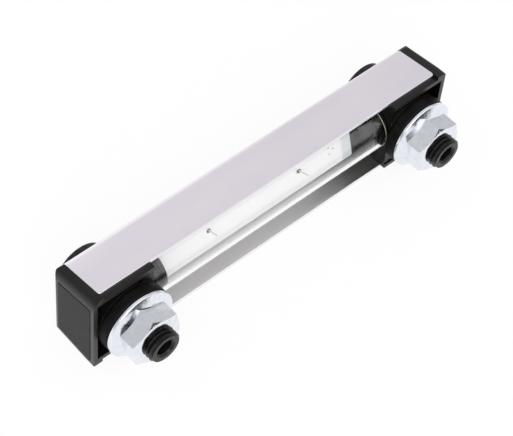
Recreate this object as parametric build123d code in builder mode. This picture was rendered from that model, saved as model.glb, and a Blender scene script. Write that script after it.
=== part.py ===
"""Level gauge for an oil tank, 127 mm between its two hollow bolts.

X runs along the gauge, Y from the tank wall to the front, Z is up with the
gauge lying on its long side. The origin is midway between the bolts, on the
plane of the end caps' rear edges. Millimetres throughout.
"""
from build123d import *
import os

# ---- driving dimensions -------------------------------------------------
bolt_spacing = 127.0        # centre distance of the two bolts

bolt_to_cover_end = 10.7    # folded aluminium cover
cover_height = 33.6         # over its two side walls
cover_rear = 2.1            # free edge of the side walls
cover_thickness = 1.2
cover_bend = 2.6            # outside radius of the two folds
side_lean_start = 3.6       # from here the side walls lean inwards
side_lean = 1.7             # by this much at the front
cover_corner = 1.0          # rounded free corners of the side walls
window_length = 80.0
window_width = 12.6
window_corner = 3.0

rim_length = 3.8            # end cap rim that the cover butts against
rim_round = 5.0             # large round on one long edge of each cap
rim_edge = 0.8              # the other end face edge
front_edge_round = 2.0
bolt_to_inner_face = 10.2   # from the bolt to the cap's tube-side face
cap_wall = 1.7
end_web = 4.8               # solid web round the tube socket
web_step = 0.4              # the web stands this far behind the boss face
pocket_depth = 11.5
boss_radius = 12.6
cap_bore_clearance = 0.25
chamber_gap = 1.4           # oil chamber round the bolt
chamber_width = 7.0
rib_width = 1.0
rib_set_back = 1.2
dimple_radius = 0.6
dimple_depth = 0.5
dimple_inset = 2.3
grain_relief = 0.2          # the grained end panel stands this far proud
grain_margin = 1.2
grain_rear = 1.7            # the panel starts this far from the rear edge

tube_outer_radius = 9.0
tube_wall = 2.5
tube_rear_gap = 0.6         # from the caps' rear plane to the tube
tube_front_gap = 0.3        # from the tube to the front plate
socket_depth = 1.8
socket_clearance = 0.1
spigot_length = 6.6
spigot_clearance = 0.25
spigot_bore_radius = 2.5
spigot_chamfer = 0.8
oring_section = 1.0         # cord radius of the tube seals
oring_pitch = 2.9           # between the two tube seals of one end
oring_first = 1.9           # from the cap face to the first tube seal
oring_bed = 0.05

strip_end_gap = 2.9         # white contrast strip, short of the spigots
strip_thickness = 1.0
strip_clearance = 0.12
pin_radius = 0.6
pin_places = (-22.3, 18.6)
pin_clearance = 0.1
pin_front = 1.2
pin_head_radius = 1.0
pin_head_height = 0.5
peep_radius = 0.45          # three peep holes near one end of the strip
peep_place = 34.2
peep_circle = 1.3

bolt_radius = 6.0           # over the free thread
bolt_pitch_radius = 5.5     # thread as modelled inside the nut
bolt_shank_radius = 5.75
bolt_thread_proud = 3.75    # thread left free beyond the nut
bolt_head_radius = 9.2
bolt_head_height = 4.9
bolt_head_round = 0.6
bolt_bore_radius = 3.0
bolt_bore_lead = 0.8
bolt_tip_chamfer = 0.6
cross_hole_radius = 2.5
socket_flats = 8.0          # hexagon socket in the head
socket_hex_depth = 3.6
cover_hole_clearance = 0.4

seal_radius = 12.9          # thick ring between cap and tank wall
seal_thickness = 4.7
seal_edge = 1.1
seal_clearance = 0.2
seal_groove_depth = 0.6
seal_groove_width = 1.2

nut_height = 9.4
nut_flats = 18.0
nut_flange_radius = 13.0
nut_rim_height = 1.2
nut_rim_round = 0.4
nut_cone_rise = 1.9
nut_crown_inset = 0.3
nut_chamfer_height = 0.95
nut_bore_clearance = 0.06
nut_lead = 0.6
nut_turn_left = 39.5        # turn of each nut as it was tightened
nut_turn_right = 37.8

front_seal_section = 1.1    # cord radius of the seal behind the front plate
front_seal_clearance = 0.15

# ---- sizes that follow --------------------------------------------------
bolt_x = bolt_spacing / 2
cap_inner_face = bolt_x - bolt_to_inner_face
cover_length = bolt_spacing + 2 * bolt_to_cover_end
half_height = cover_height / 2
inner_half = half_height - cover_thickness
tube_axis_y = tube_rear_gap + tube_outer_radius
plate_back = tube_axis_y + tube_outer_radius + tube_front_gap
cover_front = plate_back + cover_thickness
inner_bend = cover_bend - cover_thickness
rim_start = cover_length / 2
cap_end = rim_start + rim_length
pocket_half = inner_half - cap_wall
tube_inner_radius = tube_outer_radius - tube_wall
tube_half = cap_inner_face + socket_depth
spigot_radius = tube_inner_radius - spigot_clearance
spigot_end = cap_inner_face - spigot_length
strip_length = 2 * (spigot_end - strip_end_gap)
nut_rear = -seal_thickness
nut_top = nut_rear - nut_height
nut_top_radius = nut_flats / 2 - nut_crown_inset
bolt_tip_y = nut_top - bolt_thread_proud
cap_bore_radius = bolt_radius + cap_bore_clearance
chamber_radius = bolt_radius + chamber_gap
hex_corner = nut_flats / 3 ** 0.5
head_top = cover_front + bolt_head_height
front_seal_radius = bolt_radius + front_seal_clearance + front_seal_section
lean_slope = side_lean / (cover_front - side_lean_start)
lean_length = (cover_front - side_lean_start) * (1 + lean_slope ** 2) ** 0.5
waste_margin = 1.0          # cutters reach this far past the stock

tube_axis = Axis((0, tube_axis_y, 0), (1, 0, 0))


def bolt_axis(x):
    """Axis of the bolt at x, pointing to the front."""
    return Axis((x, 0, 0), (0, 1, 0))


def across(y, x=0.0):
    """Plane square to the bolts at depth y: local x is X, local y is Z."""
    return Plane((x, y, 0), x_dir=(1, 0, 0), z_dir=(0, -1, 0))


def section(x):
    """Plane square to the gauge's length: local x is Y, local y is Z."""
    return Plane((x, 0, 0), x_dir=(0, 1, 0), z_dir=(1, 0, 0))


def save(piece, name):
    """Label a finished piece and write its STEP file."""
    piece.label = name
    export_step(piece, "parts/" + name + ".step")


# ---- folded cover -------------------------------------------------------
def lean_at(y):
    """How far each side wall has come in at depth y."""
    return lean_slope * max(y - side_lean_start, 0)


def channel_outline(front, half, bend, rear):
    """Outline of a block whose sides lean inwards to two front rounds."""
    front_half = half - lean_at(front)
    with BuildSketch() as outline:
        with BuildLine():
            Polyline(
                (rear, half),
                (side_lean_start, half),
                (front, front_half),
                (front, -front_half),
                (side_lean_start, -half),
                (rear, -half),
                close=True,
            )
        make_face()
        corners = outline.vertices().group_by(Axis.X)
        fillet(corners[-1], radius=bend)
    return outline.sketch


def edge_waste(y, side, radius):
    """Corner outside a round between a cap's end face and side wall."""
    span = radius + waste_margin
    shift = (waste_margin - radius) / 2
    with BuildSketch(across(y)) as waste:
        with Locations((cap_end + shift, side * (half_height + shift))):
            Rectangle(span, span)
        with Locations((cap_end - radius, side * (half_height - radius))):
            Circle(radius, mode=Mode.SUBTRACT)
    return waste.sketch


def make_cover():
    """Aluminium sheet folded to a channel, with window and bolt holes."""
    with BuildPart() as cover:
        with BuildSketch(section(-rim_start)):
            add(channel_outline(cover_front, half_height, cover_bend, cover_rear))
        extrude(amount=cover_length)
        with BuildSketch(section(-rim_start)):
            add(channel_outline(plate_back, inner_half, inner_bend, cover_rear))
        extrude(amount=cover_length, mode=Mode.SUBTRACT)
        free_corners = (
            cover.edges()
            .filter_by(Axis.Z)
            .group_by(Axis.Y)[0]
        )
        fillet(free_corners, radius=cover_corner)
        with BuildSketch(across(plate_back)):
            RectangleRounded(window_length, window_width, window_corner)
            with Locations((-bolt_x, 0), (bolt_x, 0)):
                Circle(bolt_radius + cover_hole_clearance)
        extrude(amount=-cover_thickness, mode=Mode.SUBTRACT)
    return cover.part


# ---- end caps -----------------------------------------------------------
def make_end_cap():
    """Moulded cap of the +X end; the other end has the same part, turned."""
    with BuildPart() as cap:
        # body that slides under the cover
        with BuildSketch(section(cap_inner_face)):
            add(channel_outline(plate_back, inner_half, inner_bend, 0))
        extrude(amount=rim_start - cap_inner_face)
        # rim flush with the cover, rounded along one long edge
        with BuildSketch(section(rim_start)):
            add(channel_outline(cover_front, half_height, cover_bend, 0))
        extrude(amount=rim_length)
        for side, radius in ((-1, rim_round), (1, rim_edge)):
            extrude(
                edge_waste(0, side, radius),
                amount=-side_lean_start, mode=Mode.SUBTRACT,
            )
            extrude(
                edge_waste(side_lean_start, side, radius),
                amount=lean_length + waste_margin,
                dir=(0, 1, -side * lean_slope), mode=Mode.SUBTRACT,
            )
        with BuildSketch(Plane.XY) as top_outline:
            with Locations(((cap_inner_face + cap_end) / 2, cover_front / 2)):
                Rectangle(cap_end - cap_inner_face, cover_front)
            outer = top_outline.vertices().group_by(Axis.X)[-1]
            fillet(outer.sort_by(Axis.Y)[-1], radius=front_edge_round)
        extrude(amount=half_height, both=True, mode=Mode.INTERSECT)

        # pocket round the boss, open to the tank side
        pocket_start = cap_inner_face + end_web
        pocket_end = cap_end - cap_wall
        with BuildSketch(across(0)):
            with Locations(((pocket_start + pocket_end) / 2, 0)):
                Rectangle(pocket_end - pocket_start, 2 * pocket_half)
            with Locations((bolt_x, 0)):
                Circle(boss_radius, mode=Mode.SUBTRACT)
        extrude(amount=-pocket_depth, mode=Mode.SUBTRACT)
        # the web stands a step behind the boss face
        with BuildSketch(across(0)):
            with Locations(((cap_inner_face + pocket_start) / 2, 0)):
                Rectangle(end_web, 2 * pocket_half)
            with Locations((bolt_x, 0)):
                Circle(boss_radius, mode=Mode.SUBTRACT)
        extrude(amount=-web_step, mode=Mode.SUBTRACT)
        # rib between boss and end wall
        rib_start = bolt_x + boss_radius - cap_wall
        with BuildSketch(across(rib_set_back)):
            with Locations(((rib_start + pocket_end) / 2, 0)):
                Rectangle(pocket_end - rib_start, rib_width)
        extrude(amount=rib_set_back - pocket_depth)
        # ejector dimples on the web
        dimple_z = pocket_half - dimple_radius
        with BuildSketch(across(web_step)):
            with Locations(
                (cap_inner_face + dimple_inset, dimple_z),
                (cap_inner_face + dimple_inset, -dimple_z),
            ):
                Circle(dimple_radius)
        extrude(amount=-dimple_depth, mode=Mode.SUBTRACT)

        # socket for the tube, leaving the spigot's root
        with BuildSketch(section(cap_inner_face)):
            with Locations((tube_axis_y, 0)):
                Circle(tube_outer_radius + socket_clearance)
                Circle(spigot_radius, mode=Mode.SUBTRACT)
        extrude(amount=socket_depth, mode=Mode.SUBTRACT)
        # spigot inside the tube, with two seal grooves
        with BuildSketch(section(spigot_end)):
            with Locations((tube_axis_y, 0)):
                Circle(spigot_radius)
        extrude(amount=spigot_length)
        nose = cap.faces().sort_by(Axis.X)[0]
        chamfer(nose.edges(), length=spigot_chamfer)
        groove_root = tube_inner_radius - 2 * oring_section
        for place in tube_seal_places():
            with BuildSketch(section(place - oring_section - oring_bed)):
                with Locations((tube_axis_y, 0)):
                    Circle(tube_inner_radius)
                    Circle(groove_root, mode=Mode.SUBTRACT)
            extrude(
                amount=2 * (oring_section + oring_bed), mode=Mode.SUBTRACT,
            )
        # oil way: spigot bore, chamber and bolt bore
        with BuildSketch(section(spigot_end)):
            with Locations((tube_axis_y, 0)):
                Circle(spigot_bore_radius)
        extrude(amount=bolt_x - spigot_end, mode=Mode.SUBTRACT)
        with BuildSketch(across(0)):
            with Locations((bolt_x, 0)):
                Circle(cap_bore_radius)
        extrude(amount=-cover_front, mode=Mode.SUBTRACT)
        with BuildSketch(across(tube_axis_y - chamber_width / 2)):
            with Locations((bolt_x, 0)):
                Circle(chamber_radius)
        extrude(amount=-chamber_width, mode=Mode.SUBTRACT)
        # bed for the seal behind the front plate
        with BuildSketch(across(plate_back)):
            with Locations((bolt_x, 0)):
                Circle(
                    front_seal_radius + front_seal_section
                    + front_seal_clearance
                )
        extrude(amount=2 * front_seal_section, mode=Mode.SUBTRACT)
        # grained panel on the end face
        low = -half_height + rim_round
        high = half_height - rim_edge - grain_margin
        panel_front = cover_front - cover_bend
        panel_lean = lean_at(panel_front)
        with BuildSketch(section(cap_end)):
            with BuildLine():
                Polyline(
                    (grain_rear, low),
                    (side_lean_start, low),
                    (panel_front, low + panel_lean),
                    (panel_front, high - panel_lean),
                    (side_lean_start, high),
                    (grain_rear, high),
                    close=True,
                )
            make_face()
        extrude(amount=grain_relief)
    return cap.part


def tube_seal_places():
    """Distances from the middle of the two tube seals of one end."""
    first = cap_inner_face - oring_first
    return (first, first - oring_pitch)


# ---- sight tube and what it holds ---------------------------------------
def make_tube():
    """Clear tube, seated in the sockets of both caps."""
    with BuildPart() as tube:
        with BuildSketch(section(-tube_half)):
            with Locations((tube_axis_y, 0)):
                Circle(tube_outer_radius)
                Circle(tube_inner_radius, mode=Mode.SUBTRACT)
        extrude(amount=2 * tube_half)
    return tube.part


def make_strip():
    """White strip on the tube's middle plane, held by its long edges."""
    half_width = (
        (tube_inner_radius - strip_clearance) ** 2
        - (strip_thickness / 2) ** 2
    ) ** 0.5
    with BuildPart() as strip:
        with BuildSketch(across(tube_axis_y - strip_thickness / 2)):
            Rectangle(strip_length, 2 * half_width)
            with Locations(*[(x, 0) for x in pin_places]):
                Circle(pin_radius, mode=Mode.SUBTRACT)
            with Locations((peep_place, 0)):
                with PolarLocations(peep_circle, 3):
                    Circle(peep_radius, mode=Mode.SUBTRACT)
        extrude(amount=-strip_thickness)
    return strip.part


def make_pin(x):
    """Pin through the strip that keeps it off the tube's rear wall."""
    strip_front = tube_axis_y + strip_thickness / 2
    rear = tube_axis_y - tube_inner_radius + pin_clearance
    with BuildPart() as pin:
        with BuildSketch(across(rear, x)):
            Circle(pin_radius)
        extrude(amount=rear - strip_front)
        with BuildSketch(across(strip_front, x)):
            Circle(pin_head_radius)
        extrude(amount=-pin_head_height)
    return pin.part


def make_ring(axis, plane, centre, cord):
    """Ring of round cord about an axis."""
    with BuildPart() as ring:
        with BuildSketch(plane):
            with Locations(centre):
                Circle(cord)
        revolve(axis=axis)
    return ring.part


# ---- fasteners and seals at each bolt -----------------------------------
def make_bolt(x):
    """Hollow bolt: low round head, shank, free thread, bored for the oil."""
    bore_end = tube_axis_y + cross_hole_radius
    with BuildPart() as bolt:
        with BuildSketch(Plane((x, 0, 0))):
            with BuildLine():
                Polyline(
                    (0, bolt_tip_y),
                    (bolt_radius - bolt_tip_chamfer, bolt_tip_y),
                    (bolt_radius, bolt_tip_y + bolt_tip_chamfer),
                    (bolt_radius, nut_top),
                    (bolt_pitch_radius, nut_top),
                    (bolt_pitch_radius, nut_rear),
                    (bolt_shank_radius, nut_rear),
                    (bolt_shank_radius, cover_front),
                    (bolt_head_radius, cover_front),
                    (bolt_head_radius, head_top),
                    (0, head_top),
                    close=True,
                )
            make_face()
        revolve(axis=bolt_axis(x))
        rim = bolt.faces().sort_by(Axis.Y)[-1].edges()
        fillet(rim, radius=bolt_head_round)
        with BuildSketch(across(bolt_tip_y, x)):
            Circle(bolt_bore_radius)
        extrude(amount=bolt_tip_y - bore_end, mode=Mode.SUBTRACT)
        lead = (
            bolt.faces().sort_by(Axis.Y)[0]
            .edges().filter_by(GeomType.CIRCLE).sort_by(SortBy.RADIUS)[0]
        )
        chamfer(lead, length=bolt_bore_lead)
        with BuildSketch(section(x - bolt_radius)):
            with Locations((tube_axis_y, 0)):
                Circle(cross_hole_radius)
        extrude(amount=2 * bolt_radius, mode=Mode.SUBTRACT)
        with BuildSketch(across(head_top, x)):
            RegularPolygon(socket_flats / 2, 6, major_radius=False)
        extrude(amount=socket_hex_depth, mode=Mode.SUBTRACT)
    return bolt.part


def make_nut(x, turn):
    """Hexagon flange nut, its flange against the seal."""
    bore = bolt_pitch_radius + nut_bore_clearance
    rim_top = nut_rear - nut_rim_height
    cone_top = rim_top - nut_cone_rise
    with BuildPart() as nut:
        # hexagon with its crowned top
        with BuildSketch(across(rim_top, x)):
            RegularPolygon(nut_flats / 2, 6, major_radius=False, rotation=turn)
        extrude(amount=nut_height - nut_rim_height)
        with BuildSketch(Plane((x, 0, 0))):
            with BuildLine():
                Polyline(
                    (0, nut_rear),
                    (hex_corner, nut_rear),
                    (hex_corner, nut_top + nut_chamfer_height),
                    (nut_top_radius, nut_top),
                    (0, nut_top),
                    close=True,
                )
            make_face()
        revolve(axis=bolt_axis(x), mode=Mode.INTERSECT)
        # coned flange
        with BuildSketch(Plane((x, 0, 0))):
            with BuildLine():
                Polyline(
                    (0, nut_rear),
                    (nut_flange_radius, nut_rear),
                    (nut_flange_radius, rim_top),
                    (nut_top_radius, cone_top),
                    (0, cone_top),
                    close=True,
                )
            flange_face = make_face()
            rim = flange_face.vertices().group_by(Axis.X)[-1]
            fillet(rim, radius=nut_rim_round)
        revolve(axis=bolt_axis(x))
        # bore with a lead at both ends
        with BuildSketch(Plane((x, 0, 0))):
            with BuildLine():
                Polyline(
                    (0, nut_rear),
                    (bore + nut_lead, nut_rear),
                    (bore, nut_rear - nut_lead),
                    (bore, nut_top + nut_lead),
                    (bore + nut_lead, nut_top),
                    (0, nut_top),
                    close=True,
                )
            make_face()
        revolve(axis=bolt_axis(x), mode=Mode.SUBTRACT)
    return nut.part


def make_wall_seal(x):
    """Thick rubber ring between the cap and the tank wall."""
    inner = bolt_radius + seal_clearance
    middle = (inner + seal_radius) / 2
    with BuildPart() as seal:
        with BuildSketch(Plane((x, 0, 0))) as outline:
            with Locations((middle, -seal_thickness / 2)):
                Rectangle(seal_radius - inner, seal_thickness)
            outer = outline.vertices().group_by(Axis.X)[-1]
            fillet(outer, radius=seal_edge)
            with Locations((middle, nut_rear)):
                Rectangle(
                    seal_groove_width, 2 * seal_groove_depth,
                    mode=Mode.SUBTRACT,
                )
        revolve(axis=bolt_axis(x))
    return seal.part


os.makedirs("parts", exist_ok=True)

save(make_cover(), "front_cover")
save(make_tube(), "sight_tube")
save(make_strip(), "contrast_strip")
for name, x in zip(("left", "right"), pin_places):
    save(make_pin(x), "spacer_pin_" + name)

right_cap = make_end_cap()
save(right_cap, "end_cap_right")
save(right_cap.rotate(Axis.Y, 180), "end_cap_left")

for name, side, turn in (("left", -1, nut_turn_left), ("right", 1, nut_turn_right)):
    x = side * bolt_x
    save(make_bolt(x), "hollow_bolt_" + name)
    save(make_nut(x, turn), "flange_nut_" + name)
    save(make_wall_seal(x), "wall_seal_" + name)
    save(
        make_ring(
            bolt_axis(x), Plane((x, 0, 0)),
            (front_seal_radius, plate_back - front_seal_section),
            front_seal_section,
        ),
        "front_seal_" + name,
    )
    for place, word in zip(tube_seal_places(), ("outer", "inner")):
        save(
            make_ring(
                tube_axis, Plane.XY,
                (side * place, tube_axis_y + tube_inner_radius - oring_section),
                oring_section,
            ),
            "tube_seal_" + name + "_" + word,
        )
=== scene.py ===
import math
import bmesh
import bpy
from mathutils import Matrix, Vector


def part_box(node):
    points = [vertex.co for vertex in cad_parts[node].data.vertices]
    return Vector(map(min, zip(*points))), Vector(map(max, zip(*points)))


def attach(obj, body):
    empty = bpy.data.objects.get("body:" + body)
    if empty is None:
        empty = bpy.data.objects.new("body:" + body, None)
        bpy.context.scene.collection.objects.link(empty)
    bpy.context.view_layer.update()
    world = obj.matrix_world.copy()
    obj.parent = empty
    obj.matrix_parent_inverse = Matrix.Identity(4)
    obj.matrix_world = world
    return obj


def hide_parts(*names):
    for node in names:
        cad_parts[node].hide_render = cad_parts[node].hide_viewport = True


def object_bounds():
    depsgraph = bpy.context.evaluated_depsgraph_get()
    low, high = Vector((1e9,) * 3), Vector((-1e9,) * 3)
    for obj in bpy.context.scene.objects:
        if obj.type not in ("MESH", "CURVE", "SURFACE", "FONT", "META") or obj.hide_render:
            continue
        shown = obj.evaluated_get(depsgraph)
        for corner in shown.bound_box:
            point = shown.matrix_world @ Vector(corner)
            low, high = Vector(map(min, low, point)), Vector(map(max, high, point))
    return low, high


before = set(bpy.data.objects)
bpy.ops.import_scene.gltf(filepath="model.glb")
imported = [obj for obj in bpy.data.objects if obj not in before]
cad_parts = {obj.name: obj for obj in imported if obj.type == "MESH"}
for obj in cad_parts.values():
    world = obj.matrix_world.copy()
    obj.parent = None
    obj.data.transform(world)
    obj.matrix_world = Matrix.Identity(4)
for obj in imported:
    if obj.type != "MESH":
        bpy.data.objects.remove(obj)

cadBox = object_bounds()  # the solids alone
mm = 0.001
print("frame loaded:", len(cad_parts), "nodes")


class Wire:
    # an output socket that can stand in an expression
    def __init__(self, graph, socket):
        self.graph, self.socket = graph, socket

    def math(self, operation, first, second=0.0):
        return self.graph.node("ShaderNodeMath", {"operation": operation}, {0: first, 1: second})

    def __add__(self, other):
        return self.math("ADD", self, other)

    def __sub__(self, other):
        return self.math("SUBTRACT", self, other)

    def __rsub__(self, other):
        return self.math("SUBTRACT", other, self)

    def __mul__(self, other):
        return self.math("MULTIPLY", self, other)

    def __pow__(self, other):
        return self.math("POWER", self, other)

    def __abs__(self):
        return self.math("ABSOLUTE", self)

    __radd__ = __add__
    __rmul__ = __mul__


class Graph:
    # the node tree of a material or a world, with constants for its shader
    def __init__(self, owner, shader="Principled BSDF", **constants):
        owner.use_nodes = True
        self.owner, self.tree = owner, owner.node_tree
        self.shader = self.tree.nodes[shader]
        for socket, value in constants.items():
            self.shader.inputs[socket.replace("_", " ")].default_value = value

    def feed(self, socket, value):
        if isinstance(value, Wire):
            self.tree.links.new(value.socket, socket)
        else:
            socket.default_value = value

    def node(self, kind, settings=None, inputs=None, output=0):
        # any node: its settings first, then its sockets
        made = self.tree.nodes.new(kind)
        for key, value in (settings or {}).items():
            setattr(made, key, value)
        for key, value in (inputs or {}).items():
            self.feed(made.inputs[key], value)
        return Wire(self, made.outputs[output])

    def place(self, scale):
        # object coordinates, stretched
        spot = self.node("ShaderNodeTexCoord", output="Object")
        return self.node("ShaderNodeMapping", inputs={"Vector": spot, "Scale": scale})

    def axes(self, kind="Object"):
        # the three coordinates as numbers
        spot = self.node("ShaderNodeTexCoord", output=kind)
        split = self.node("ShaderNodeSeparateXYZ", inputs={"Vector": spot}).socket.node
        return [Wire(self, split.outputs[i]) for i in range(3)]

    def ray(self, *kinds):
        # one for rays of the named kinds, nothing for the others
        first, *others = [
            self.node("ShaderNodeLightPath", output="Is " + kind + " Ray") for kind in kinds
        ]
        return self.ramp(sum(others, first), 0.0, 1.0)

    def noise(self, size, stretch=(1, 1, 1), detail=4.0, rough=0.55):
        # noise whose lumps are about size across
        return self.node("ShaderNodeTexNoise", inputs={
            "Vector": self.place(stretch), "Scale": 1 / size,
            "Detail": detail, "Roughness": rough,
        })

    def ramp(self, value, low, high):
        # value between low and high, taken to 0 to 1
        return self.node("ShaderNodeMapRange", {"clamp": True},
                         {"Value": value, "From Min": low, "From Max": high})

    def blend(self, amount, first, second):
        # between two colours
        return self.node("ShaderNodeMix", {"data_type": "RGBA"},
                         {"Factor": amount, 6: first, 7: second}, output=2)

    def bump(self, height, depth, strength=1.0, under=None):
        inputs = {"Height": height, "Distance": depth, "Strength": strength}
        if under:
            inputs["Normal"] = under
        return self.node("ShaderNodeBump", inputs=inputs)

    def mixShaders(self, amount, second):
        # from the tree's own shader to a second one
        mixed = self.node("ShaderNodeMixShader", inputs={
            0: amount, 1: Wire(self, self.shader.outputs[0]), 2: second,
        })
        self.feed(self.tree.nodes["Material Output"].inputs["Surface"], mixed)

    def set(self, socket, value):
        self.feed(self.shader.inputs[socket], value)


def newFinish(name, **constants):
    return Graph(bpy.data.materials.new(name), **constants)


def grey(level):
    return (level, level, level, 1)


aluminium = {
    "colour": (0.86, 0.805, 0.87, 1), "darker": (0.81, 0.76, 0.83, 1),
    "inside": (0.90, 0.885, 0.89, 1),  # the channel's inner faces, painted paler and less tinted as painted light in the shaded channel
    "rough": 0.36, "roughSpread": 0.08,
    "lineWidth": 0.12 * mm, "lineStretch": (0.02, 1, 1),
    "lineDepth": 0.003 * mm, "lineStrength": 0.6,
    "cloudSize": 14 * mm, "cloudStretch": (0.4, 1, 1), "cloudRange": (0.3, 0.7),
    "sheetMiddle": 16.2 * mm, "frontMiddle": 19.5 * mm,  # halfway through the sheet
    "lean": 1.7 * mm, "leanFrom": 3.6 * mm, "leanTo": 20.1 * mm, "blur": 0.05 * mm,
}


def makeAluminium():
    # satin anodised sheet, drawn along its length, with painted light: the channel's inner faces
    # are painted paler
    f = aluminium
    g = newFinish("anodisedAluminium", Metallic=1.0)
    lines = g.noise(f["lineWidth"], f["lineStretch"], 3.0)
    cloud = g.noise(f["cloudSize"], f["cloudStretch"], 2.0)
    x, y, z = g.axes()
    lean = f["lean"] * g.ramp(y, f["leanFrom"], f["leanTo"])
    fromWall = f["sheetMiddle"] - lean - abs(z)
    fromFront = f["frontMiddle"] - y
    # painted light: the inner faces of the channel get a paler colour than the outside
    inside = g.ramp(fromWall, 0.0, f["blur"]) * g.ramp(fromFront, 0.0, f["blur"])
    skin = g.blend(g.ramp(cloud, *f["cloudRange"]), f["colour"], f["darker"])
    g.set("Base Color", g.blend(inside, skin, f["inside"]))
    g.set("Roughness", f["rough"] + f["roughSpread"] * (lines - 0.5))
    g.set("Normal", g.bump(lines, f["lineDepth"], f["lineStrength"]))
    return g.owner


capFinish = {
    "colour": 0.0032, "paleGain": 1.5, "rough": 0.36, "roughSpread": 0.10, "specular": 0.3,
    "grainSize": 0.22 * mm, "grainDepth": 0.03 * mm, "grainStrength": 0.5,
    "cloudSize": 6 * mm, "cloudRange": (0.3, 0.7),
    "panelStart": 78.1 * mm, "panelBlur": 0.05 * mm, "panelColour": 0.004, "panelRough": 0.16,
    "panelGrainSize": 0.55 * mm, "panelGrainDepth": 0.12 * mm,
    "highlightBandWidth": 2.0 * mm, "highlightBandGap": 0.1 * mm, "paintedHighlightColour": 0.045,  # painted highlight on the round beside the panel
    "reflectionBandFrom": 0.12 * mm, "reflectionBandTo": -0.02 * mm, "reflectionBandShare": 0.8,    # painted reflection on the rear edge
    "paintedReflectionColour": (0.030, 0.026, 0.022, 1),
}


def makeCapPlastic():
    # black moulded plastic, with coarser grain on the end panels, a painted highlight on the
    # round beside them and a painted reflection along the rear edge
    f = capFinish
    g = newFinish("mouldedCapPlastic", Specular_IOR_Level=f["specular"])
    x, y, z = g.axes()
    start, blur = f["panelStart"], f["panelBlur"]
    panel = g.ramp(abs(x), start - blur, start + blur)
    # painted highlight: a paler band on the round beside each panel
    paintedHighlightBand = g.ramp(abs(x), start - f["highlightBandWidth"], start - f["highlightBandGap"])
    # painted reflection: a paler brownish rear edge
    paintedReflectionBand = g.ramp(y, f["reflectionBandFrom"], f["reflectionBandTo"])
    fine = g.noise(f["grainSize"], detail=2.0)
    coarse = g.noise(f["panelGrainSize"], detail=3.0)
    cloud = g.ramp(g.noise(f["cloudSize"], detail=3.0), *f["cloudRange"])
    body = g.blend(cloud, grey(f["colour"]), grey(f["colour"] * f["paleGain"]))
    body = g.blend(paintedHighlightBand * paintedHighlightBand, body, grey(f["paintedHighlightColour"]))
    body = g.blend(panel, body, grey(f["panelColour"]))
    g.set("Base Color", g.blend(paintedReflectionBand * f["reflectionBandShare"], body, f["paintedReflectionColour"]))
    g.set("Roughness", f["rough"] + f["panelRough"] * panel + f["roughSpread"] * (fine - 0.5))
    low = g.bump(fine, f["grainDepth"], f["grainStrength"])
    g.set("Normal", g.bump(coarse * panel, f["panelGrainDepth"], 1.0, low))
    return g.owner


rubberFinish = {
    "colour": 0.004, "bloomGain": 2.2, "rough": 0.46, "roughSpread": 0.2, "specular": 0.08,
    "lumpSize": 0.5 * mm, "lumpDepth": 0.02 * mm, "lumpStrength": 0.5,
    "bloomSize": 4 * mm, "bloomRange": (0.45, 0.75),
}


def makeRubber():
    # black rubber with a faint bloom
    f = rubberFinish
    g = newFinish("sealRubber", Specular_IOR_Level=f["specular"])
    lumps = g.noise(f["lumpSize"])
    bloom = g.noise(f["bloomSize"], detail=3.0)
    dark, pale = grey(f["colour"]), grey(f["colour"] * f["bloomGain"])
    g.set("Base Color", g.blend(g.ramp(bloom, *f["bloomRange"]), dark, pale))
    g.set("Roughness", f["rough"] + f["roughSpread"] * (bloom - 0.5))
    g.set("Normal", g.bump(lumps, f["lumpDepth"], f["lumpStrength"]))
    return g.owner


zincFinish = {
    "colour": (0.84, 0.87, 0.91, 1), "bloom": (0.74, 0.77, 0.84, 1),
    "rough": 0.09, "bloomRough": 0.06, "patchSize": 2.2 * mm, "patchRange": (0.35, 0.7),
    "dentSize": 1.1 * mm, "dentDepth": 0.05 * mm, "dentStrength": 0.35,
}


def makeZinc():
    # bright bluish zinc over a cold-formed surface
    f = zincFinish
    g = newFinish("brightZinc", Metallic=1.0)
    patches = g.noise(f["patchSize"], detail=5.0, rough=0.6)
    dents = g.noise(f["dentSize"], detail=3.0)
    bloom = g.ramp(patches, *f["patchRange"])
    g.set("Base Color", g.blend(bloom, f["colour"], f["bloom"]))
    g.set("Roughness", f["rough"] + f["bloomRough"] * bloom)
    g.set("Normal", g.bump(dents, f["dentDepth"], f["dentStrength"]))
    return g.owner


boltFinish = {
    "colour": 0.006, "worn": 0.035, "rough": 0.2, "patchRough": 0.22,
    "metallic": 0.1, "specular": 0.3, "crest": 5.9 * mm, "crestBlur": 0.1 * mm,
    "patchSize": 1.6 * mm, "wearRange": (0.45, 0.75), "roughRange": (0.3, 0.8),
    "patchDepth": 0.02 * mm, "patchStrength": 0.4,
}


def makeBoltBlack(centre):
    # oiled black oxide, a little paler on the thread crests
    f = boltFinish
    g = newFinish("blackOxide", Metallic=f["metallic"], Specular_IOR_Level=f["specular"])
    x, y, z = g.axes()
    patches = g.noise(f["patchSize"])
    across = abs(abs(x) - centre)
    radius = (across * across + z * z) ** 0.5
    crest = g.ramp(radius, f["crest"], f["crest"] + f["crestBlur"])
    wear = crest * g.ramp(patches, *f["wearRange"])
    g.set("Base Color", g.blend(wear, grey(f["colour"]), grey(f["worn"])))
    g.set("Roughness", f["rough"] + f["patchRough"] * g.ramp(patches, *f["roughRange"]))
    g.set("Normal", g.bump(patches, f["patchDepth"], f["patchStrength"]))
    return g.owner


tubeFinish = {
    "tint": (0.965, 0.975, 0.972, 1), "paleTint": (0.98, 0.985, 0.985, 1), "ior": 1.49,
    "haze": 0.012, "hazeRange": (0.3, 0.9), "cloudSize": 9 * mm,
    "lineSize": 0.9 * mm, "lineStretch": (0.02, 1, 1), "lineDepth": 0.003 * mm,
    "lineStrength": 0.25, "passing": (0.96, 0.965, 0.96, 1),  # light that isn't bent
}


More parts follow.
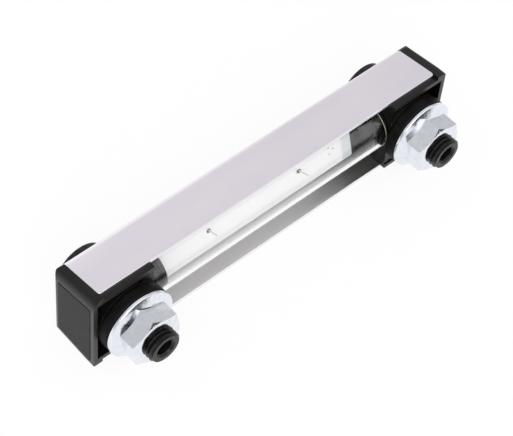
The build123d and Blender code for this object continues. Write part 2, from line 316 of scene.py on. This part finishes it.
def makeClear():
    # clear tube with faint drawing lines along it
    f = tubeFinish
    g = newFinish("clearTube", Transmission_Weight=1.0, IOR=f["ior"])
    lines = g.noise(f["lineSize"], f["lineStretch"], 2.0)
    cloud = g.noise(f["cloudSize"], detail=2.0)
    g.set("Base Color", g.blend(cloud, f["tint"], f["paleTint"]))
    g.set("Roughness", f["haze"] * g.ramp(cloud, *f["hazeRange"]))
    g.set("Normal", g.bump(lines, f["lineDepth"], f["lineStrength"]))
    # light that only falls through the tube passes it unbent
    unbent = g.node("ShaderNodeBsdfTransparent", inputs={"Color": f["passing"]})
    bounced = g.ray("Glossy") * (1.0 - g.ray("Transmission"))
    g.mixShaders(g.ray("Shadow", "Diffuse") + bounced, unbent)
    return g.owner


stripFinish = {
    "colour": (0.86, 0.84, 0.85, 1), "mark": (0.77, 0.755, 0.765, 1),
    "rough": 0.5, "roughSpread": 0.1, "specular": 0.4,
    "speckleSize": 0.7 * mm, "speckleRange": (0.35, 0.9),
    "speckleDepth": 0.01 * mm, "speckleStrength": 0.4,
    "tail": 38.3 * mm, "tailBlur": 0.4 * mm, "tailColour": (0.64, 0.66, 0.68, 1),
    # painted shade: dark spots where the pins pass through the strip
    "spot": 0.75 * mm, "shadeSpotBlur": 0.15 * mm, "paintedShadeColour": (0.10, 0.10, 0.105, 1),
}


def makeStripWhite(pinShadePlaces):
    # white strip, with painted shade as dark spots round the pins and a greyer tail at one end
    f = stripFinish
    g = newFinish("stripWhite", Specular_IOR_Level=f["specular"])
    speckle = g.noise(f["speckleSize"])
    x, y, z = g.axes()
    tail = g.ramp(x, f["tail"] - f["tailBlur"], f["tail"] + f["tailBlur"])
    body = g.blend(g.ramp(speckle, *f["speckleRange"]), f["colour"], f["mark"])
    body = g.blend(tail, body, f["tailColour"])
    # painted shade round each pin's hole
    for spot in pinShadePlaces:
        away = ((x - spot) * (x - spot) + z * z) ** 0.5
        near = g.ramp(away, f["spot"] + f["shadeSpotBlur"], f["spot"])
        body = g.blend(near, body, f["paintedShadeColour"])
    g.set("Base Color", body)
    g.set("Roughness", f["rough"] + f["roughSpread"] * (speckle - 0.5))
    g.set("Normal", g.bump(speckle, f["speckleDepth"], f["speckleStrength"]))
    return g.owner


speckledFinishes = {
    # name: two colours, speckle size and detail, roughness and its spread, specular
    "pinWhite": ((0.80, 0.80, 0.80, 1), (0.68, 0.68, 0.69, 1), 0.5 * mm, 3.0, 0.35, 0.1, 0.5),
    "scaleInk": (grey(0.02), grey(0.05), 0.3 * mm, 3.0, 0.5, 0.1, 0.3),
    # painted glint at the tube's ends
    "tubeGlintPaint": ((0.62, 0.66, 0.42, 1), (0.50, 0.53, 0.36, 1), 1.5 * mm, 2.0, 0.25, 0.1, 0.5),
}


def makeSpeckled(name):
    # white of the pins, ink of the scale, or the greenish painted glint at the clear tube's ends
    first, second, size, detail, rough, spread, specular = speckledFinishes[name]
    g = newFinish(name, Specular_IOR_Level=specular)
    speckle = g.noise(size, detail=detail)
    g.set("Base Color", g.blend(speckle, first, second))
    g.set("Roughness", rough + spread * speckle)
    return g.owner


def middleOf(node):
    low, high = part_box(node)
    return (low + high) / 2


sides = ("left", "right")
aluminiumMaterial = makeAluminium()
capMaterial = makeCapPlastic()
rubberMaterial = makeRubber()
zincMaterial = makeZinc()
boltMaterial = makeBoltBlack(middleOf("hollow_bolt_right").x)
clearMaterial = makeClear()
stripMaterial = makeStripWhite([middleOf("spacer_pin_" + side).x for side in sides])
pinMaterial = makeSpeckled("pinWhite")
inkMaterial = makeSpeckled("scaleInk")
glintPaintMaterial = makeSpeckled("tubeGlintPaint")
print("finishes made")


meshing = {
    "cadJoin": 0.5e-6, "spinJoin": 1e-7,    # vertices this near are one, in metres
    "sharpFrom": 32, "bevelSegments": 2,    # edges from this angle stay sharp
}


def cadShape(node):
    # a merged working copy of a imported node
    shape = bmesh.new()
    shape.from_mesh(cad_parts[node].data)
    bmesh.ops.remove_doubles(shape, verts=shape.verts, dist=meshing["cadJoin"])
    return shape


def addPiece(shape, name, material, stands=(), roundEdge=0.0):
    # turns a working shape into a finished piece of the object
    sharp = math.radians(meshing["sharpFrom"])
    for face in shape.faces:
        face.smooth = True
    for edge in shape.edges:
        edge.smooth = edge.calc_face_angle(0.0) < sharp
    mesh = bpy.data.meshes.new(name)
    shape.to_mesh(mesh)
    shape.free()
    piece = bpy.data.objects.new(name, mesh)
    bpy.context.scene.collection.objects.link(piece)
    mesh.materials.clear()
    mesh.materials.append(material)
    if roundEdge:
        edges = piece.modifiers.new("roundEdges", "BEVEL")
        edges.width = roundEdge
        edges.segments = meshing["bevelSegments"]
        edges.limit_method = "ANGLE"
        edges.angle_limit = sharp
        edges.harden_normals = True
    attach(piece, "root")
    if stands:
        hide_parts(*stands)


def dressNode(node, material):
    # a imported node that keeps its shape
    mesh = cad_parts[node].data
    mesh.materials.clear()
    mesh.materials.append(material)


roundings = {
    # edge radius, and the degrees within which faces count as flat
    "cover": (0.18 * mm, 1.0), "cap": (0.22 * mm, 0.3), "nut": (0.22 * mm, 0.5),
}


def addRounded(kind, node, name, material):
    # a node with its flat faces joined, so that its edges round evenly
    radius, flat = roundings[kind]
    shape = cadShape(node)
    bmesh.ops.dissolve_limit(
        shape, angle_limit=math.radians(flat), verts=shape.verts, edges=shape.edges,
    )
    addPiece(shape, name, material, (node,), roundEdge=radius)


addRounded("cover", "front_cover", "cover", aluminiumMaterial)
for side in sides:
    addRounded("cap", "end_cap_" + side, "cap" + side.title(), capMaterial)
print("cover and caps done")


tubeLow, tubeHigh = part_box("sight_tube")
tubeCentre = (tubeLow + tubeHigh) / 2
tubeRadius = (tubeHigh.z - tubeLow.z) / 2
tube = {"steps": 192, "lip": 0.2 * mm, "wall": 1.15 * mm}


def spinRing(points):
    # a closed loop of places along and out from the tube's axis, spun about it
    shape = bmesh.new()
    verts = [shape.verts.new((x, tubeCentre.y, tubeCentre.z + out)) for x, out in points]
    for first, second in zip(verts, verts[1:] + verts[:1]):
        shape.edges.new((first, second))
    bmesh.ops.spin(
        shape, geom=shape.verts[:] + shape.edges[:], cent=tubeCentre, axis=(1, 0, 0),
        angle=2 * math.pi, steps=tube["steps"], use_merge=True,
    )
    bmesh.ops.remove_doubles(shape, verts=shape.verts, dist=meshing["spinJoin"])
    bmesh.ops.recalc_face_normals(shape, faces=shape.faces)
    return shape


def makeTube():
    inner, lip = tubeRadius - tube["wall"], tube["lip"]
    shape = spinRing([
        (tubeLow.x, inner + lip), (tubeLow.x, tubeRadius - lip),
        (tubeLow.x + lip, tubeRadius), (tubeHigh.x - lip, tubeRadius),
        (tubeHigh.x, tubeRadius - lip), (tubeHigh.x, inner + lip),
        (tubeHigh.x - lip, inner), (tubeLow.x + lip, inner),
    ])
    addPiece(shape, "sightTube", clearMaterial, ("sight_tube",))


def turnAbout(shape, degrees):
    # turns a shape round the tube's axis
    bmesh.ops.rotate(
        shape, cent=tubeCentre, verts=shape.verts,
        matrix=Matrix.Rotation(math.radians(degrees), 3, "X"),
    )


def addInsert(node, name, material, factors, turn=0.0, about=tubeCentre):
    # a node's shape, stretched about a point and turned round the tube's axis
    shape = cadShape(node)
    home = Matrix.Translation(-about)
    bmesh.ops.scale(shape, vec=factors, space=home, verts=shape.verts)
    turnAbout(shape, turn)
    addPiece(shape, name, material, (node,))


strip = {"turn": -18.0, "halfWidth": 7.5 * mm, "trim": 1.2 * mm}
pin = {"reach": 5.0 * mm, "slim": 0.42}


def makeStrip():
    # the strip, wider than its node and shorter at the right end, and its pins
    low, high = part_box("contrast_strip")
    widen = strip["halfWidth"] / ((high.z - low.z) / 2)
    shorten = 1 - strip["trim"] / (high.x - low.x)
    addInsert("contrast_strip", "contrastStrip", stripMaterial,
              (shorten, 1, widen), strip["turn"], Vector((low.x, tubeCentre.y, 0)))
    for side in sides:
        node = "spacer_pin_" + side
        deepen = pin["reach"] / (tubeCentre.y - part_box(node)[0].y)
        about = Vector((middleOf(node).x, tubeCentre.y, 0))
        addInsert(node, "pin" + side.title(), pinMaterial,
                  (pin["slim"], deepen, pin["slim"]), strip["turn"], about)


plug = {
    "radius": 7.55 * mm, "bore": 2.5 * mm, "lead": 0.5 * mm, "proud": 1.0 * mm,
    "groove": 1.05 * mm, "grooveRoot": 5.6 * mm, "sealRadius": 7.8 * mm,
}


def makePlug(side):
    # the cap's spigot where it fills the tube, with its seals in their grooves
    sign = -1 if side == "left" else 1
    capLow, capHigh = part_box("end_cap_" + side)
    front = (capHigh.x if sign < 0 else capLow.x) - sign * plug["proud"]
    end = tubeHigh.x * sign
    profile = [(front, plug["bore"]), (front, plug["radius"] - plug["lead"]),
               (front + sign * plug["lead"], plug["radius"])]
    for place in ("inner", "outer"):
        node = "tube_seal_" + side + "_" + place
        low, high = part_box(node)
        grow = plug["sealRadius"] / ((high.z - low.z) / 2)
        addInsert(node, "tubeSeal" + side.title() + place.title(), rubberMaterial,
                  (1, grow, grow))
        spot, half = middleOf(node).x, sign * plug["groove"]
        profile += [
            (spot - half, plug["radius"]), (spot - half, plug["grooveRoot"]),
            (spot + half, plug["grooveRoot"]), (spot + half, plug["radius"]),
        ]
    profile += [(end, plug["radius"]), (end, plug["bore"])]
    addPiece(spinRing(profile), "plug" + side.title(), capMaterial)


rim = {"back": 2.85 * mm, "cord": 0.16 * mm, "proud": 0.06 * mm}


def makeGlintRing(side):
    # ring where the tube's wall meets the cap, coloured as a painted greenish glint
    sign = -1 if side == "left" else 1
    face = sign * (abs(tubeHigh.x) - rim["back"])
    near = face - sign * rim["cord"]
    inner, outer = tubeRadius - rim["cord"], tubeRadius + rim["proud"]
    shape = spinRing([(near, inner), (face, inner), (face, outer), (near, outer)])
    addPiece(shape, "tubeGlintRing" + side.title(), glintPaintMaterial)


scale = {
    "step": 5 * mm, "long": 3.4 * mm, "short": 1.8 * mm, "width": 0.35 * mm,
    "height": 0.05 * mm, "reach": 35 * mm, "side": -4.2 * mm,
}


def makeScale():
    # plain graduation on the front of the strip, turned with it
    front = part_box("contrast_strip")[1].y
    shape = bmesh.new()
    count = int(scale["reach"] / scale["step"])
    for i in range(-count, count + 1):
        length = scale["short"] if i % 2 else scale["long"]
        size = (scale["width"], scale["height"], length)
        spot = (i * scale["step"], front + scale["height"] / 2, scale["side"] + length / 2)
        matrix = Matrix.Translation(spot) @ Matrix.Diagonal((*size, 1))
        bmesh.ops.create_cube(shape, size=1, matrix=matrix)
    turnAbout(shape, strip["turn"])
    addPiece(shape, "scaleMarks", inkMaterial)


makeTube()
makeStrip()
for side in sides:
    makePlug(side)
    makeGlintRing(side)
makeScale()
print("tube and strip done")


thread = {
    "pitch": 1.5 * mm, "crest": 6.0 * mm, "root": 5.1 * mm, "crestFlat": 0.2 * mm,
    "flank": 0.5 * mm, "steps": 96, "join": 2e-6, "levelWithin": 1e-6,
    "start": 0.55 * mm, "overlap": 0.1 * mm,     # how far it runs back into the nut
    "chamferEnd": 5.4 * mm, "bore": 3.0 * mm, "boreLead": 0.8 * mm,
}


def cutAt(shape, x, y, outward):
    # cuts a bolt across and drops what lies outward of y
    cut = bmesh.ops.bisect_plane(
        shape, geom=shape.verts[:] + shape.edges[:] + shape.faces[:],
        plane_co=(x, y, 0), plane_no=(0, outward, 0), clear_outer=True,
    )
    return [g for g in cut["geom_cut"] if isinstance(g, bmesh.types.BMEdge)]


def openEdges(shape, y):
    # the free edges of a shape at one level
    return [e for e in shape.edges if e.is_boundary
            and all(abs(v.co.y - y) < thread["levelWithin"] for v in e.verts)]


def setRadius(vert, x, radius):
    # moves a vertex to a distance from the bolt's axis
    out = Vector((vert.co.x - x, 0, vert.co.z))
    out *= radius / out.length
    vert.co.x, vert.co.z = x + out.x, out.z


def makeThread(shape, x, yTop, yTip):
    # helical thread from yTop to yTip, then the tip and the bore behind it
    pitch, crest, root, flank = (thread[key] for key in ("pitch", "crest", "root", "flank"))
    y = yTop + pitch
    profile = []
    for radius, drop in (
        (root, 0.0), (root, pitch - thread["crestFlat"] - 2 * flank), (crest, flank),
        (crest, thread["crestFlat"]), (root, flank),
    ):
        y -= drop
        profile.append(shape.verts.new((x + radius, y, 0)))
    for first, second in zip(profile, profile[1:]):
        shape.edges.new((first, second))
    turns = math.ceil((yTop - yTip) / pitch) + 2
    bmesh.ops.spin(
        shape, geom=shape.verts[:] + shape.edges[:], cent=(x, 0, 0), axis=(0, 1, 0),
        dvec=(0, -pitch / thread["steps"], 0), angle=2 * math.pi * turns,
        steps=turns * thread["steps"],
    )
    bmesh.ops.remove_doubles(shape, verts=shape.verts, dist=thread["join"])
    cutAt(shape, x, yTop, 1)
    cutAt(shape, x, yTip, -1)
    for vert in shape.verts:
        # the chamfer at the tip limits how far out the thread stands
        limit = thread["chamferEnd"] + (vert.co.y - yTip)
        if math.hypot(vert.co.x - x, vert.co.z) > limit:
            setRadius(vert, x, limit)
    ring, top = openEdges(shape, yTip), openEdges(shape, yTop)
    lead = thread["boreLead"]
    for radius, yEnd in (
        (thread["bore"] + lead, yTip), (thread["bore"], yTip + lead), (thread["bore"], yTop),
    ):
        made = bmesh.ops.extrude_edge_only(shape, edges=ring)["geom"]
        verts = [g for g in made if isinstance(g, bmesh.types.BMVert)]
        for vert in verts:
            setRadius(vert, x, radius)
            vert.co.y = yEnd
        ring = [g for g in made if isinstance(g, bmesh.types.BMEdge)
                and all(v in verts for v in g.verts)]
    bmesh.ops.bridge_loops(shape, edges=ring + top)
    bmesh.ops.recalc_face_normals(shape, faces=shape.faces)


def makeBolt(side):
    # the node up to the nut's end, with a real thread from there on
    node = "hollow_bolt_" + side
    x = middleOf(node).x
    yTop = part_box("flange_nut_" + side)[0].y + thread["start"]
    shape = cadShape(node)
    loops = cutAt(shape, x, yTop + thread["overlap"], -1)
    bmesh.ops.bridge_loops(shape, edges=loops)
    bmesh.ops.recalc_face_normals(shape, faces=shape.faces)
    free = bmesh.new()
    makeThread(free, x, yTop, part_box(node)[0].y)
    mesh = bpy.data.meshes.new("freeThread")
    free.to_mesh(mesh)
    free.free()
    shape.from_mesh(mesh)
    bpy.data.meshes.remove(mesh)
    addPiece(shape, "bolt" + side.title(), boltMaterial, (node,))


for side in sides:
    makeBolt(side)
print("bolts done")

for side in sides:
    addRounded("nut", "flange_nut_" + side, "nut" + side.title(), zincMaterial)
    dressNode("wall_seal_" + side, rubberMaterial)
    dressNode("front_seal_" + side, rubberMaterial)
print("nuts and seals done")


floorLook = {
    "half": 3.0, "colour": (0.93, 0.93, 0.93, 1), "paler": (0.94, 0.94, 0.94, 1),
    "cloudSize": 0.4, "rough": 0.9, "glow": 0.9,
    "darkFrom": -0.10, "darkBlur": 0.05, "paintedDarkReflection": 0.02,  # painted dark reflection: the far floor, dark in mirrors only
}


def makeFloor():
    # pale floor that keeps its shadow, white where it is seen, with a painted dark reflection on
    # the far floor
    f = floorLook
    g = newFinish("paleFloor", Roughness=f["rough"])
    x, y, z = g.axes()
    # painted dark reflection: the far floor turns dark for mirror rays
    darkInMirrors = g.ramp(y, f["darkFrom"], f["darkFrom"] - f["darkBlur"])
    darkInMirrors = darkInMirrors * g.ray("Glossy") * (1.0 - g.ray("Transmission"))
    cloud = g.noise(f["cloudSize"], detail=2.0)
    pale = g.blend(cloud, f["colour"], f["paler"])
    g.set("Base Color", g.blend(darkInMirrors, pale, grey(f["paintedDarkReflection"])))
    white = g.node("ShaderNodeEmission", inputs={"Color": (1, 1, 1, 1), "Strength": 1.0})
    g.mixShaders(g.ray("Camera", "Glossy", "Transmission") * f["glow"] * (1.0 - darkInMirrors), white)
    shape = bmesh.new()
    level = Matrix.Translation((0, 0, cadBox[0].z))
    bmesh.ops.create_grid(shape, x_segments=1, y_segments=1, size=f["half"], matrix=level)
    mesh = bpy.data.meshes.new("floor")
    shape.to_mesh(mesh)
    shape.free()
    floor = bpy.data.objects.new("floor", mesh)
    mesh.materials.append(g.owner)
    bpy.context.scene.collection.objects.link(floor)


sky = {
    "level": 0.8, "mirror": 0.8,              # for spread light, and in mirrors
    "leftDrop": 0.16, "leftEnd": -0.75,       # what mirrors lose on the left
    "rightDrop": 0.17, "rightStart": 0.5, "rightEnd": 0.88,
    "rearGain": 0.6, "rearEnd": -0.3,         # and gain on the tank side
    "horizonDrop": 0.75, "horizonTop": 0.28, "horizonStart": -0.6, "horizonEnd": -0.85,
}


def makeSky():
    # even white where it is seen, softer and uneven where it is mirrored
    f = sky
    world = bpy.data.worlds.new("studioSky")
    bpy.context.scene.world = world
    g = Graph(world, "Background", Color=(1, 1, 1, 1))
    x, y, z = g.axes("Generated")
    seen, mirrored = g.ray("Camera", "Transmission"), g.ray("Glossy")
    drop = f["leftDrop"] * g.ramp(x, 0.0, f["leftEnd"])
    drop = drop + f["rightDrop"] * g.ramp(x, f["rightStart"], f["rightEnd"])
    gain = f["rearGain"] * g.ramp(y, 0.0, f["rearEnd"])
    low = g.ramp(z, f["horizonTop"], f["horizonTop"] / 2)
    low = low * g.ramp(y, f["horizonStart"], f["horizonEnd"])
    gain = gain - low * (f["horizonDrop"] + gain)
    level = f["level"] + mirrored * (f["mirror"] - f["level"] - drop + gain)
    g.set("Strength", level + seen * (1.0 - level))


lamps = {
    # name: place, power, size
    "keyLamp": ((-0.55, -0.85, 0.75), 8.5, 0.8),
    "fillLamp": ((-0.1, 1.0, 0.12), 2.2, 1.2),  # lights the strip through the window
}


def makeLamp(name):
    # square lamp that faces the origin
    place, power, size = lamps[name]
    lamp = bpy.data.lights.new(name, "AREA")
    lamp.energy, lamp.size = power, size
    holder = bpy.data.objects.new(name, lamp)
    holder.location = place
    holder.rotation_mode = "QUATERNION"
    holder.rotation_quaternion = (-Vector(place)).to_track_quat("-Z", "Y")
    bpy.context.scene.collection.objects.link(holder)


camera = {
    "azimuth": -47.212, "elevation": 50.772, "roll": 6.281, "distance": 0.607458,
    "target": (-0.005554, 0.003695, -0.001077), "lens": 128.496, "sensor": 36,
    "clipStart": 0.01, "clipEnd": 20,
}


def makeCamera():
    data = bpy.data.cameras.new("view")
    data.lens, data.sensor_width = camera["lens"], camera["sensor"]
    data.clip_start, data.clip_end = camera["clipStart"], camera["clipEnd"]
    holder = bpy.data.objects.new("view", data)
    a, e = math.radians(camera["azimuth"]), math.radians(camera["elevation"])
    back = Vector((math.sin(a) * math.cos(e), -math.cos(a) * math.cos(e), math.sin(e)))
    holder.location = Vector(camera["target"]) + back * camera["distance"]
    level = (-back).to_track_quat("-Z", "Y")
    roll = Matrix.Rotation(math.radians(camera["roll"]), 4, "Z").to_quaternion()
    holder.rotation_mode = "QUATERNION"
    holder.rotation_quaternion = level @ roll
    bpy.context.scene.collection.objects.link(holder)
    bpy.context.scene.camera = holder


makeFloor()
makeSky()
for name in lamps:
    makeLamp(name)
makeCamera()
bpy.context.scene.view_settings.view_transform = "Standard"
print("studio done")
